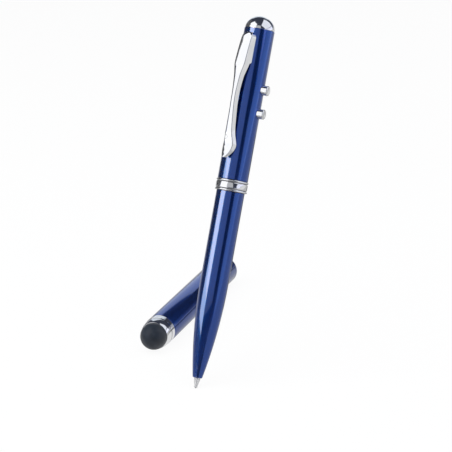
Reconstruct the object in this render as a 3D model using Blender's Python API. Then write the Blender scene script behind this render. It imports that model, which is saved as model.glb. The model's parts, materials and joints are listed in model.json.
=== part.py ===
"""Capped ballpoint pen with a torch, a laser pointer and a stylus on its cap, in metres, +Z up.

The pen stands on its point, leaning back as a hand holds it, and its cap lies on the table
behind it. The origin is on the pen's axis, where the fingers grip the lower barrel.
"""

import math

import bmesh
import bpy
from mathutils import Matrix, Vector

MM = 0.001

# How the pen stands and where its cap lies
LEAN = math.radians(67.51)
LEAN_TURN = math.radians(6.93)
PEN_ROLL = math.radians(-8.8)
GRIP_FROM_POINT = 30.0 * MM
CAP_BESIDE = 27.77 * MM
CAP_BEHIND = 33.7 * MM

# Clearances
FIT = 0.10 * MM
SLIP = 0.10 * MM
SEAT = 0.10 * MM
CAP_SLIP = 0.14 * MM
CAP_STOP = 0.30 * MM
NOSE_ROOM = 0.30 * MM

# Lower half
POINT_REACH = 4.0 * MM
NOSE_DIAMETER = 3.4 * MM
OGIVE_LENGTH = 36.0 * MM
LOWER_LENGTH = 70.1 * MM
LOWER_DIAMETER = 10.55 * MM
LOWER_WALL = 0.65 * MM
RING_HEIGHT = 4.2 * MM
RING_DIAMETER = 12.0 * MM
BEAD_HEIGHT = 0.75 * MM
RING_GROOVE = 0.30 * MM
RING_GROOVE_DEPTH = 0.28 * MM

# Refill
BALL_DIAMETER = 1.0 * MM
BALL_CLEARANCE = 0.05 * MM
LIP_HEIGHT = 0.3 * MM
LIP_WALL = 0.1 * MM
REFILL_DIAMETER = 2.35 * MM
REFILL_BORE = 1.65 * MM
REFILL_LENGTH = 67.0 * MM
TIP_CONE_LENGTH = 3.5 * MM
TIP_BODY_LENGTH = 9.0 * MM
TIP_SHANK_LENGTH = 4.0 * MM
INK_BORE = 0.5 * MM
REFILL_GRIP = 4.5 * MM
HOLDER_FLOOR = 1.5 * MM

# Screwed joint between the two halves
THREAD_DIAMETER = 8.0 * MM
THREAD_LENGTH = 6.0 * MM
INSERT_LENGTH = 7.8 * MM
COUPLER_BORE = 6.4 * MM

# Upper half
UPPER_LENGTH = 56.6 * MM
UPPER_DIAMETER = 11.35 * MM
UPPER_WALL = 0.60 * MM
DOME_HEIGHT = 5.0 * MM
DOME_FULLNESS = 2.0
DOME_STEP = 0.15 * MM
DOME_WALL = 0.70 * MM
SKIRT_LENGTH = 3.4 * MM

# Clip
CLIP_DROP = 1.9 * MM
CLIP_LENGTH = 47.5 * MM
CLIP_ROOT_WIDTH = 4.6 * MM
CLIP_WAIST_WIDTH = 1.7 * MM
CLIP_FLARE_WIDTH = 4.25 * MM
CLIP_TOE_WIDTH = 0.6 * MM
CLIP_TOP_ROUND = 2.0 * MM
CLIP_ROOT_LENGTH = 11.3 * MM
CLIP_NOTCH = 0.6 * MM
CLIP_WAIST_AT = 24.7 * MM
CLIP_POINT_LENGTH = 5.0 * MM
CLIP_ROOT_STAND = 2.9 * MM
CLIP_ARCH_STAND = 3.78 * MM
CLIP_FLARE_STAND = 1.65 * MM
CLIP_TOE_STAND = 3.4 * MM
CLIP_DEPTH = 1.7 * MM
CLIP_DRAFT = 0.27 * MM
CLIP_EDGE = 0.40 * MM
CLIP_CROWN = 0.15 * MM
CLIP_SHEET = 0.45 * MM
CLIP_BARREL_GAP = 0.12 * MM
TAB_DROP = 3.0 * MM
TAB_LENGTH = 2.0 * MM
TAB_WIDTH = 2.6 * MM
TAB_REACH = 0.5 * MM

# Buttons and switches, round from the clip
BUTTON_TURN = math.radians(102.5)
BUTTON_DROP = 22.1 * MM
BUTTON_PITCH = 8.85 * MM
BUTTON_DIAMETER = 3.6 * MM
BUTTON_REACH = 2.15 * MM
BUTTON_EDGE = 0.28 * MM
BUTTON_TRAVEL = 0.7 * MM
FLANGE_RIM = 0.6 * MM
FLANGE_THICKNESS = 0.6 * MM
STEM_DIAMETER = 1.5 * MM
STEM_DEPTH = 1.0 * MM
STEM_STAND = 1.2 * MM
SWITCH_SIDE = 4.4 * MM
SWITCH_FLOOR = 0.4 * MM
BOARD_THICKNESS = 0.8 * MM
BOARD_WIDTH = 7.0 * MM
BOARD_MARGIN = 3.0 * MM

# Emitters behind the dome
LASER_DIAMETER = 4.2 * MM
LASER_LENGTH = 13.0 * MM
LASER_RISE = 0.6 * MM
LASER_WALL = 0.5 * MM
LENS_THICKNESS = 1.2 * MM
LENS_RECESS = 0.3 * MM
LASER_APERTURE = 2.6 * MM
LED_DIAMETER = 3.0 * MM
LED_LENGTH = 5.4 * MM
LED_RISE = 2.2 * MM
LED_FLANGE = 0.3 * MM
LED_FLANGE_HEIGHT = 0.8 * MM
CARRIER_ROOM = 4.6 * MM

# Button cells
CELL_COUNT = 3
CELL_DIAMETER = 7.9 * MM
CELL_HEIGHT = 3.6 * MM
CELL_STEP = 0.7 * MM
CELL_STEP_HEIGHT = 0.9 * MM
CONTACT_THICKNESS = 0.4 * MM
CONTACT_NUB = 0.6 * MM
SPRING_WIRE = 0.5 * MM
SPRING_DIAMETER = 5.2 * MM
SPRING_TURNS = 9

# Cap
CAP_WALL = 0.62 * MM
TIP_IN_END = 4.0 * MM
END_LENGTH = 6.5 * MM
END_BAND = 2.5 * MM
END_GROOVE = 0.4 * MM
END_GROOVE_DEPTH = 0.35 * MM
END_FRONT_DIAMETER = 10.9 * MM
END_SKIRT = 5.0 * MM
END_WALL = 0.6 * MM
END_FLOOR = 0.9 * MM
CUP_LENGTH = 11.0 * MM
CUP_TIP_ROOM = 0.7 * MM
STYLUS_DIAMETER = 10.6 * MM
STYLUS_WALL = 0.9 * MM
STYLUS_SKIRT = 0.4 * MM
STEM_HOLE = 4.0 * MM

# Faces round a turned piece
OUTER_STEPS = 40
INNER_STEPS = 24
BALL_STEPS = 12
ARC_POINTS = 6
WELD = 1e-7

# Heights along the pen, measured from its point
NOSE = POINT_REACH
RING_BOTTOM = NOSE + LOWER_LENGTH
RING_TOP = RING_BOTTOM + RING_HEIGHT
UPPER_BOTTOM = RING_TOP + SEAT
UPPER_TOP = UPPER_BOTTOM + UPPER_LENGTH
DOME_BASE = UPPER_TOP + SEAT
COUPLER_TOP = RING_TOP + THREAD_LENGTH
COUPLER_BOTTOM = REFILL_LENGTH - REFILL_GRIP
HOLDER_TOP = REFILL_LENGTH + SEAT + HOLDER_FLOOR
UPPER_BUTTON = DOME_BASE - BUTTON_DROP
LOWER_BUTTON = UPPER_BUTTON - BUTTON_PITCH
BOARD_BOTTOM = LOWER_BUTTON - BOARD_MARGIN
BOARD_TOP = UPPER_BUTTON + 2 * BOARD_MARGIN
CONTACT_TOP = BOARD_BOTTOM - SEAT
CELLS_TOP = CONTACT_TOP - CONTACT_THICKNESS - SEAT
CELLS_BOTTOM = CELLS_TOP - CELL_COUNT * CELL_HEIGHT - (CELL_COUNT - 1) * SEAT
INSERT_TOP = UPPER_BOTTOM + INSERT_LENGTH
CLIP_TOP = DOME_BASE - CLIP_DROP
CLIP_FLARE_AT = CLIP_LENGTH - CLIP_POINT_LENGTH
CARRIER_TOP = DOME_BASE - SKIRT_LENGTH - CARRIER_ROOM

# Radii that several pieces share
UPPER_RADIUS = UPPER_DIAMETER / 2
UPPER_BORE = UPPER_RADIUS - UPPER_WALL
LOWER_RADIUS = LOWER_DIAMETER / 2
LOWER_BORE = LOWER_RADIUS - LOWER_WALL
REFILL_RADIUS = REFILL_DIAMETER / 2
CAP_BORE = LOWER_RADIUS + CAP_SLIP
CAP_RADIUS = CAP_BORE + CAP_WALL
SKIRT_BORE = UPPER_BORE - FIT - DOME_WALL

# How far the emitters stand from the pen's axis, close inside the dome's skirt
LASER_OFFSET = SKIRT_BORE - FIT - LASER_DIAMETER / 2
LED_OFFSET = SKIRT_BORE - FIT - LED_DIAMETER / 2 - LED_FLANGE

# Levels along a button's own axis, measured from the pen's axis
FLANGE_RADIUS = BUTTON_DIAMETER / 2 + FLANGE_RIM
FLANGE_TOP = math.sqrt(UPPER_BORE**2 - FLANGE_RADIUS**2) - SLIP
FLANGE_BOTTOM = FLANGE_TOP - FLANGE_THICKNESS
STEM_TOP = FLANGE_BOTTOM - SEAT
SWITCH_TOP = STEM_TOP - STEM_STAND
STEM_BOTTOM = SWITCH_TOP - STEM_DEPTH
SWITCH_BOTTOM = STEM_BOTTOM - BUTTON_TRAVEL - SLIP - SWITCH_FLOOR
BOARD_FRONT = SWITCH_BOTTOM - SEAT

# The cap's own axis runs from its mouth towards the stylus
CAP_TUBE_LENGTH = LOWER_LENGTH + POINT_REACH - CAP_STOP - TIP_IN_END
CAP_END = CAP_TUBE_LENGTH + SEAT
CAP_FRONT = CAP_END + END_LENGTH
END_BORE = CAP_BORE - FIT - END_WALL


def clear_scene():
    for thing in list(bpy.data.objects):
        bpy.data.objects.remove(thing, do_unlink=True)


def make_look(name, colour, roughness, metallic=0.0):
    """A plain material with one colour and finish."""
    look = bpy.data.materials.new(name)
    look.use_nodes = True
    shader = look.node_tree.nodes["Principled BSDF"]
    shader.inputs["Base Color"].default_value = (*colour, 1.0)
    shader.inputs["Roughness"].default_value = roughness
    shader.inputs["Metallic"].default_value = metallic
    return look


def add_frame(name, matrix):
    """An empty that carries a group of pieces."""
    frame = bpy.data.objects.new(name, None)
    bpy.context.collection.objects.link(frame)
    frame.matrix_world = matrix
    return frame


def add_piece(name, shape, look, frame, place=None):
    """Turn a finished bmesh into a named object on its frame."""
    bmesh.ops.remove_doubles(shape, verts=shape.verts, dist=WELD)
    bmesh.ops.recalc_face_normals(shape, faces=shape.faces)
    mesh = bpy.data.meshes.new(name)
    shape.to_mesh(mesh)
    shape.free()
    mesh.shade_smooth()
    mesh.set_sharp_from_angle(angle=math.radians(35))
    mesh.materials.append(look)
    piece = bpy.data.objects.new(name, mesh)
    bpy.context.collection.objects.link(piece)
    piece.parent = frame
    piece.matrix_local = place or Matrix.Identity(4)
    return piece


def turned_shape(outline, steps):
    """Spin an outline of (radius, height) corners about Z; one that ends on the axis stays open."""
    shape = bmesh.new()
    corners = [shape.verts.new((radius, 0.0, height)) for radius, height in outline]
    lines = [shape.edges.new(pair) for pair in zip(corners, corners[1:])]
    if outline[0][0] > 0.0:
        lines.append(shape.edges.new((corners[-1], corners[0])))
    bmesh.ops.spin(
        shape,
        geom=corners + lines,
        cent=(0.0, 0.0, 0.0),
        axis=(0.0, 0.0, 1.0),
        angle=math.tau,
        steps=steps,
        use_merge=True,
    )
    return shape


def turned(name, outline, look, frame, steps=OUTER_STEPS, place=None):
    return add_piece(name, turned_shape(outline, steps), look, frame, place)


def drum_shape(radius, low, high, steps):
    """A plain cylinder about Z."""
    return turned_shape([(0.0, high), (radius, high), (radius, low), (0.0, low)], steps)


def box_shape(low, high):
    shape = bmesh.new()
    bmesh.ops.create_cube(shape, size=1.0)
    size = Vector(high) - Vector(low)
    middle = (Vector(high) + Vector(low)) / 2
    fitted = Matrix.Translation(middle) @ Matrix.Diagonal((*size, 1.0))
    bmesh.ops.transform(shape, matrix=fitted, verts=shape.verts)
    return shape


def as_helper(piece):
    """A cutter or a part of a union, which isn't a piece of the object."""
    piece.hide_render = True
    piece.display_type = "WIRE"
    return piece


def combine(piece, helper, operation):
    """Cut the helper out of the piece, or join it on."""
    step = piece.modifiers.new(helper.name, "BOOLEAN")
    step.operation = operation
    step.solver = "EXACT"
    step.object = as_helper(helper)


def mix(low, high, share):
    return low + (high - low) * share


def flow_through(stations, at):
    """The value at one place of a smooth curve through (place, value) stations, level at its turns."""
    pairs = list(zip(stations, stations[1:]))
    steps = [(high - low) / (end - start) for (start, low), (end, high) in pairs]
    inner = [2 * a * b / (a + b) if a * b > 0.0 else 0.0 for a, b in zip(steps, steps[1:])]
    slopes = [steps[0]] + inner + [steps[-1]]
    for index, ((start, low), (end, high)) in enumerate(pairs):
        if at <= end:
            break
    span = end - start
    share = (at - start) / span
    ease = share * share * (3 - 2 * share)
    leave = slopes[index] * span * share * (1 - share) ** 2
    arrive = slopes[index + 1] * span * share**2 * (share - 1)
    return mix(low, high, ease) + leave + arrive


def spread(start, end, count):
    """Evenly spaced values from start to end, both included."""
    return [start + (end - start) * step / (count - 1) for step in range(count)]


def bead(radius, bottom, height, bulge):
    """Corners of a half-round bead, from its bottom to its top."""
    return [
        (radius + bulge * math.sin(angle), bottom + height * (1 - math.cos(angle)) / 2)
        for angle in spread(0.0, math.pi, ARC_POINTS)
    ]


def barrel_radius(height):
    """Outside of the lower barrel: a cylinder that falls away in a parabola to the nose."""
    below = max(0.0, NOSE + OGIVE_LENGTH - height)
    return LOWER_RADIUS - (LOWER_RADIUS - NOSE_DIAMETER / 2) * (below / OGIVE_LENGTH) ** 2


def barrel_height(radius):
    """Where the ogive of the lower barrel has this radius."""
    share = (LOWER_RADIUS - radius) / (LOWER_RADIUS - NOSE_DIAMETER / 2)
    return NOSE + OGIVE_LENGTH * (1 - math.sqrt(share))


def round_clip(turn):
    """Frame of a feature that faces out of the barrel, this far round from the clip."""
    return Matrix.Rotation(turn, 4, "Z")


def build_lower_barrel(look, frame):
    nose_bore = REFILL_RADIUS + FIT
    bore_start = barrel_height(nose_bore + LOWER_WALL)
    ogive_end = NOSE + OGIVE_LENGTH
    outside = [(barrel_radius(at), at) for at in spread(NOSE, ogive_end, 2 * ARC_POINTS)]
    inside = [(barrel_radius(at) - LOWER_WALL, at) for at in spread(ogive_end, bore_start, ARC_POINTS)]
    top = RING_BOTTOM - SEAT
    outline = outside + [(LOWER_RADIUS, top), (LOWER_BORE, top)] + inside + [(nose_bore, NOSE)]
    turned("lower_barrel", outline, look, frame)


def build_refill(tip_look, ball_look, tube_look, holder_look, frame):
    ball_radius = BALL_DIAMETER / 2
    socket = ball_radius + BALL_CLEARANCE
    lip = math.sqrt(ball_radius**2 - (ball_radius - LIP_HEIGHT) ** 2) + BALL_CLEARANCE / 2
    ink = INK_BORE / 2
    shank = REFILL_BORE / 2 - FIT
    body_top = TIP_BODY_LENGTH
    shank_top = body_top + TIP_SHANK_LENGTH
    outline = [
        (socket + LIP_WALL, LIP_HEIGHT),
        (REFILL_RADIUS, TIP_CONE_LENGTH),
        (REFILL_RADIUS, body_top),
        (shank, body_top),
        (shank, shank_top),
        (ink, shank_top),
        (ink, BALL_DIAMETER + socket),
        (socket, BALL_DIAMETER),
        (socket, ball_radius),
        (lip, LIP_HEIGHT),
    ]
    turned("refill_tip", outline, tip_look, frame, INNER_STEPS)

    ball = bmesh.new()
    bmesh.ops.create_uvsphere(ball, u_segments=BALL_STEPS, v_segments=BALL_STEPS // 2, radius=ball_radius)
    add_piece("writing_ball", ball, ball_look, frame, Matrix.Translation((0.0, 0.0, ball_radius)))

    tube_bottom = body_top + SEAT
    bore = REFILL_BORE / 2
    outline = [
        (bore, tube_bottom),
        (REFILL_RADIUS, tube_bottom),
        (REFILL_RADIUS, REFILL_LENGTH),
        (bore, REFILL_LENGTH),
    ]
    turned("refill_tube", outline, tube_look, frame, INNER_STEPS)

    outside = COUPLER_BORE / 2 - FIT
    socket = REFILL_RADIUS + FIT
    socket_top = REFILL_LENGTH + SEAT
    outline = [
        (0.0, HOLDER_TOP),
        (outside, HOLDER_TOP),
        (outside, COUPLER_BOTTOM),
        (socket, COUPLER_BOTTOM),
        (socket, socket_top),
        (0.0, socket_top),
    ]
    turned("refill_holder", outline, holder_look, frame, INNER_STEPS)


def build_joint(brass_look, chrome_look, frame):
    """The sleeve that screws the halves together, the ring round it and the insert it screws into."""
    thread = THREAD_DIAMETER / 2
    bore = COUPLER_BORE / 2
    plug = LOWER_BORE - FIT
    plug_top = RING_BOTTOM - SEAT
    outline = [
        (bore, COUPLER_BOTTOM),
        (plug, COUPLER_BOTTOM),
        (plug, plug_top),
        (thread, plug_top),
        (thread, COUPLER_TOP),
        (bore, COUPLER_TOP),
    ]
    turned("coupler_sleeve", outline, brass_look, frame, INNER_STEPS)

    crest = RING_DIAMETER / 2
    root = crest - RING_GROOVE_DEPTH
    band = crest - RING_GROOVE_DEPTH / 3
    band_bottom = RING_BOTTOM + BEAD_HEIGHT + RING_GROOVE
    band_top = RING_TOP - BEAD_HEIGHT - RING_GROOVE
    hole = thread + FIT
    outline = [(hole, RING_TOP), (hole, RING_BOTTOM)]
    outline += bead(root, RING_BOTTOM, BEAD_HEIGHT, RING_GROOVE_DEPTH)
    outline += bead(band - RING_GROOVE_DEPTH / 3, band_bottom, band_top - band_bottom, RING_GROOVE_DEPTH / 2)
    outline += bead(root, RING_TOP - BEAD_HEIGHT, BEAD_HEIGHT, RING_GROOVE_DEPTH)
    turned("centre_ring", outline, chrome_look, frame)

    bore = thread + SLIP
    outside = UPPER_BORE - FIT
    bottom = UPPER_BOTTOM + SEAT
    outline = [(bore, bottom), (outside, bottom), (outside, INSERT_TOP), (bore, INSERT_TOP)]
    turned("thread_insert", outline, brass_look, frame, INNER_STEPS)


def build_upper_barrel(look, frame):
    outline = [
        (UPPER_BORE, UPPER_BOTTOM),
        (UPPER_RADIUS, UPPER_BOTTOM),
        (UPPER_RADIUS, UPPER_TOP),
        (UPPER_BORE, UPPER_TOP),
    ]
    barrel = turned("upper_barrel", outline, look, frame)
    hole = BUTTON_DIAMETER / 2 + SLIP
    for at in (LOWER_BUTTON, UPPER_BUTTON):
        drill = drum_shape(hole, 0.0, UPPER_DIAMETER, INNER_STEPS)
        combine(barrel, add_piece("button_drill", drill, look, frame, button_place(at)), "DIFFERENCE")
    half = TAB_WIDTH / 2 + SLIP
    tab_top = CLIP_TOP - TAB_DROP
    slot = box_shape(
        (-half, -UPPER_DIAMETER, tab_top - TAB_LENGTH - SLIP), (half, -UPPER_BORE / 2, tab_top + SLIP)
    )
    combine(barrel, add_piece("tab_slot", slot, look, frame), "DIFFERENCE")


def dome_outline(radius, height, count):
    """Corners of the dome's section, from its rim to its apex: a slightly full ellipse."""
    corners = []
    for angle in spread(0.0, math.pi / 2, count):
        out = max(0.0, math.cos(angle)) ** (2 / DOME_FULLNESS)
        rise = math.sin(angle) ** (2 / DOME_FULLNESS)
        corners.append((radius * out, DOME_BASE + height * rise))
    corners[-1] = (0.0, DOME_BASE + height)
    return corners


def build_dome(look, frame):
    skirt = UPPER_BORE - FIT
    inner = SKIRT_BORE
    outside = dome_outline(UPPER_RADIUS - DOME_STEP, DOME_HEIGHT, 2 * ARC_POINTS)
    inside = dome_outline(inner, DOME_HEIGHT - DOME_WALL, ARC_POINTS)
    skirt_bottom = DOME_BASE - SKIRT_LENGTH
    outline = inside[::-1] + [(inner, skirt_bottom), (skirt, skirt_bottom), (skirt, DOME_BASE)] + outside
    dome = turned("top_dome", outline, look, frame)
    for offset, width in ((LASER_OFFSET, LASER_APERTURE), (-LED_OFFSET, LED_DIAMETER + 2 * SLIP)):
        drill = drum_shape(width / 2, DOME_BASE, DOME_BASE + 2 * DOME_HEIGHT, INNER_STEPS)
        place = round_clip(BUTTON_TURN) @ Matrix.Translation((0.0, -offset, 0.0))
        combine(dome, add_piece("aperture_drill", drill, look, frame, place), "DIFFERENCE")


def clip_half_width(below):
    """Half the width of the clip's face, this far below its rounded top end."""
    root = CLIP_ROOT_WIDTH / 2
    waist = CLIP_WAIST_WIDTH / 2
    flare = CLIP_FLARE_WIDTH / 2
    if below < CLIP_TOP_ROUND:
        return root * math.sqrt(1 - (1 - below / CLIP_TOP_ROUND) ** 2)
    if below > CLIP_FLARE_AT:
        past = min(1.0, (below - CLIP_FLARE_AT) / CLIP_POINT_LENGTH)
        return mix(CLIP_TOE_WIDTH / 2, flare, (1 - past**2) ** 0.7)
    stations = [
        (CLIP_TOP_ROUND, root),
        (CLIP_ROOT_LENGTH, root),
        (mix(CLIP_ROOT_LENGTH, CLIP_WAIST_AT, 0.43), mix(root, waist, 0.65)),
        (CLIP_WAIST_AT, waist),
        (mix(CLIP_WAIST_AT, CLIP_FLARE_AT, 0.62), mix(waist, flare, 0.33)),
        (CLIP_FLARE_AT, flare),
    ]
    return flow_through(stations, below)


def clip_stand(below):
    """How far the edges of the clip's face stand off the barrel, this far below its top end."""
    stations = [
        (0.0, 0.25 * CLIP_ROOT_STAND),
        (0.12 * CLIP_ROOT_LENGTH, 0.53 * CLIP_ROOT_STAND),
        (0.33 * CLIP_ROOT_LENGTH, 0.75 * CLIP_ROOT_STAND),
        (0.70 * CLIP_ROOT_LENGTH, CLIP_ROOT_STAND),
        (mix(CLIP_ROOT_LENGTH, CLIP_WAIST_AT, 0.27), mix(CLIP_ROOT_STAND, CLIP_ARCH_STAND, 0.86)),
        (mix(CLIP_ROOT_LENGTH, CLIP_WAIST_AT, 0.90), CLIP_ARCH_STAND),
        (mix(CLIP_WAIST_AT, CLIP_FLARE_AT, 0.40), mix(CLIP_ARCH_STAND, CLIP_FLARE_STAND, 0.25)),
        (mix(CLIP_WAIST_AT, CLIP_FLARE_AT, 0.73), mix(CLIP_ARCH_STAND, CLIP_FLARE_STAND, 0.52)),
        (CLIP_FLARE_AT, CLIP_FLARE_STAND),
        (mix(CLIP_FLARE_AT, CLIP_LENGTH, 0.50), mix(CLIP_FLARE_STAND, CLIP_TOE_STAND, 0.28)),
        (CLIP_LENGTH, CLIP_TOE_STAND),
    ]
    return flow_through(stations, below)


def clip_wall_depth(below):
    """How deep the clip's side walls are, past the root whose walls come down to the barrel."""
    stations = [
        (CLIP_ROOT_LENGTH + CLIP_NOTCH, 1.55 * CLIP_DEPTH),
        (mix(CLIP_ROOT_LENGTH, CLIP_WAIST_AT, 0.20), 1.40 * CLIP_DEPTH),
        (mix(CLIP_ROOT_LENGTH, CLIP_WAIST_AT, 0.50), 1.08 * CLIP_DEPTH),
        (CLIP_WAIST_AT, CLIP_DEPTH),
        (mix(CLIP_WAIST_AT, CLIP_FLARE_AT, 0.80), 1.10 * CLIP_DEPTH),
        (CLIP_FLARE_AT, 1.18 * CLIP_DEPTH),
        (CLIP_LENGTH, 0.50 * CLIP_DEPTH),
    ]
    return flow_through(stations, below)


def clip_foot(below, across):
    """Where a side wall of the clip ends: on the barrel at the root, at the wall's depth past it."""
    seat = math.sqrt((UPPER_RADIUS + CLIP_BARREL_GAP) ** 2 - across**2)
    if below <= CLIP_ROOT_LENGTH:
        return seat
    return max(seat, UPPER_RADIUS + clip_stand(below) - clip_wall_depth(below))


def clip_section(below):
    """Corners of the clip's channel section as (across, out), going round."""
    half = clip_half_width(below)
    face = UPPER_RADIUS + clip_stand(below)
    wall = min(CLIP_SHEET, 0.45 * half)
    edge = min(CLIP_EDGE, 0.5 * half)
    outer = half + CLIP_DRAFT
    inner = outer - wall
    right = [
        (inner, clip_foot(below, inner)),
        (outer, clip_foot(below, outer)),
        (half + 0.1 * CLIP_DRAFT, face - edge),
        (half - 0.3 * edge, face - 0.3 * edge),
        (half - edge, face),
        (0.35 * half, face + CLIP_CROWN),
    ]
    left = [(-across, up) for across, up in reversed(right)]
    roof = face - CLIP_SHEET
    return right + left + [(wall - half, roof), (half - wall, roof)]


def clip_places():
    """Places of the sections along the clip, closest at its rounded ends and at the notch."""
    start = 0.02 * CLIP_TOP_ROUND
    point = CLIP_POINT_LENGTH - 0.002 * CLIP_LENGTH
    past_notch = CLIP_ROOT_LENGTH + CLIP_NOTCH
    quarter = spread(0.0, math.pi / 2, ARC_POINTS)
    places = [mix(start, CLIP_TOP_ROUND, 1 - math.cos(angle)) for angle in quarter]
    places += spread(CLIP_TOP_ROUND, CLIP_ROOT_LENGTH, ARC_POINTS)[1:]
    places += spread(past_notch, CLIP_FLARE_AT, 3 * ARC_POINTS)
    places += [CLIP_FLARE_AT + point * math.sin(angle) for angle in quarter[1:]]
    return places


def build_clip(look, frame):
    """A pressed channel, lofted through sections from its rounded root to its point."""
    shape = bmesh.new()
    rings = []
    for below in clip_places():
        section = clip_section(below)
        rings.append([shape.verts.new((across, -out, CLIP_TOP - below)) for across, out in section])
    for first, second in zip(rings, rings[1:]):
        for step in range(len(first)):
            after = (step + 1) % len(first)
            shape.faces.new((first[step], first[after], second[after], second[step]))
    shape.faces.new(rings[0])
    shape.faces.new(rings[-1])
    clip = add_piece("clip", shape, look, frame)
    tab_top = CLIP_TOP - TAB_DROP
    tab = box_shape(
        (-TAB_WIDTH / 2, CLIP_SHEET / 3 - UPPER_RADIUS - clip_stand(TAB_DROP), tab_top - TAB_LENGTH),
        (TAB_WIDTH / 2, TAB_REACH - UPPER_BORE, tab_top),
    )
    combine(clip, add_piece("clip_tab", tab, look, frame), "UNION")


def button_place(height):
    """Frame whose Z points out of the barrel along a button's axis."""
    outward = Matrix.Rotation(math.pi / 2, 4, "X")
    return Matrix.Translation((0.0, 0.0, height)) @ round_clip(BUTTON_TURN) @ outward


def build_button(name, height, button_look, stem_look, switch_look, frame):
    """A push button with its flange, the switch behind it and the switch's stem."""
    place = button_place(height)
    radius = BUTTON_DIAMETER / 2
    end = UPPER_RADIUS + BUTTON_REACH
    outline = [
        (0.0, end),
        (radius - BUTTON_EDGE, end),
        (radius - 0.3 * BUTTON_EDGE, end - 0.3 * BUTTON_EDGE),
        (radius, end - BUTTON_EDGE),
        (radius, FLANGE_TOP),
        (FLANGE_RADIUS, FLANGE_TOP),
        (FLANGE_RADIUS, FLANGE_BOTTOM),
        (0.0, FLANGE_BOTTOM),
    ]
    turned(name + "_button", outline, button_look, frame, INNER_STEPS, place)

    stem = STEM_DIAMETER / 2
    rod = drum_shape(stem, STEM_BOTTOM, STEM_TOP, BALL_STEPS)
    add_piece(name + "_switch_stem", rod, stem_look, frame, place)

    half = SWITCH_SIDE / 2
    body = box_shape((-half, -half, SWITCH_BOTTOM), (half, half, SWITCH_TOP))
    switch = add_piece(name + "_switch", body, switch_look, frame, place)
    well = stem + SLIP
    floor = SWITCH_BOTTOM + SWITCH_FLOOR
    drill = drum_shape(well, floor, SWITCH_TOP + STEM_STAND, BALL_STEPS)
    combine(switch, add_piece("stem_well", drill, switch_look, frame, place), "DIFFERENCE")


def build_board(look, frame):
    half = BOARD_WIDTH / 2
    low = (-half, -BOARD_FRONT, BOARD_BOTTOM)
    high = (half, BOARD_THICKNESS - BOARD_FRONT, BOARD_TOP)
    add_piece("circuit_board", box_shape(low, high), look, frame, round_clip(BUTTON_TURN))


def build_emitters(carrier_look, housing_look, lens_look, led_look, frame):
    """The laser housing and the diode behind the dome, and the carrier that holds them."""
    laser_place = round_clip(BUTTON_TURN) @ Matrix.Translation((0.0, -LASER_OFFSET, 0.0))
    led_place = round_clip(BUTTON_TURN) @ Matrix.Translation((0.0, LED_OFFSET, 0.0))
    laser_top = DOME_BASE + LASER_RISE
    laser_bottom = laser_top - LASER_LENGTH
    led_top = DOME_BASE + LED_RISE
    led_bottom = led_top - LED_LENGTH

    outside = UPPER_BORE - FIT
    bottom = BOARD_TOP + SEAT
    block = drum_shape(outside, bottom, CARRIER_TOP, INNER_STEPS)
    carrier = add_piece("emitter_carrier", block, carrier_look, frame)
    pocket = LASER_DIAMETER / 2 + FIT
    floor = laser_bottom - SEAT
    drill = drum_shape(pocket, floor, DOME_BASE, INNER_STEPS)
    pillar = drum_shape(LED_DIAMETER / 2, bottom + SEAT, led_bottom - SEAT, INNER_STEPS)
    combine(carrier, add_piece("led_pillar", pillar, carrier_look, frame, led_place), "UNION")
    combine(carrier, add_piece("laser_pocket", drill, carrier_look, frame, laser_place), "DIFFERENCE")

    radius = LASER_DIAMETER / 2
    bore = radius - LASER_WALL
    seat = laser_top - LENS_RECESS - LENS_THICKNESS - SEAT
    outline = [
        (0.0, seat),
        (bore, seat),
        (bore, laser_top),
        (radius, laser_top),
        (radius, laser_bottom),
        (0.0, laser_bottom),
    ]
    turned("laser_housing", outline, housing_look, frame, INNER_STEPS, laser_place)

    rim = bore - FIT
    lens_top = laser_top - LENS_RECESS
    lens_bottom = lens_top - LENS_THICKNESS
    crown = lens_top - LENS_THICKNESS / 3
    outline = [(0.0, lens_top), (rim / 2, lens_top - LENS_THICKNESS / 12), (rim, crown), (rim, lens_bottom)]
    turned("laser_lens", outline + [(0.0, lens_bottom)], lens_look, frame, INNER_STEPS, laser_place)

    radius = LED_DIAMETER / 2
    flange = radius + LED_FLANGE
    flange_top = led_bottom + LED_FLANGE_HEIGHT
    cap = [
        (radius * math.sin(angle), led_top - radius * (1 - math.cos(angle)))
        for angle in spread(0.0, math.pi / 2, ARC_POINTS)
    ]
    cap[0] = (0.0, led_top)
    outline = cap + [(radius, flange_top), (flange, flange_top), (flange, led_bottom), (0.0, led_bottom)]
    turned("led", outline, led_look, frame, INNER_STEPS, led_place)


def build_cells(cell_look, sleeve_look, contact_look, frame):
    radius = CELL_DIAMETER / 2
    for number in range(CELL_COUNT):
        bottom = CELLS_BOTTOM + number * (CELL_HEIGHT + SEAT)
        step = bottom + CELL_STEP_HEIGHT
        top = bottom + CELL_HEIGHT
        neck = radius - CELL_STEP
        outline = [(0.0, top), (radius, top), (radius, step), (neck, step), (neck, bottom), (0.0, bottom)]
        turned(f"button_cell_{number + 1}", outline, cell_look, frame, INNER_STEPS)

    bore = radius + SLIP
    outside = UPPER_BORE - FIT
    bottom = INSERT_TOP + SEAT
    outline = [(bore, bottom), (outside, bottom), (outside, CONTACT_TOP), (bore, CONTACT_TOP)]
    turned("battery_sleeve", outline, sleeve_look, frame, INNER_STEPS)

    disc = radius - SLIP
    plate = drum_shape(disc, CONTACT_TOP - CONTACT_THICKNESS, CONTACT_TOP, INNER_STEPS)
    add_piece("positive_contact", plate, contact_look, frame)


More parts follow.
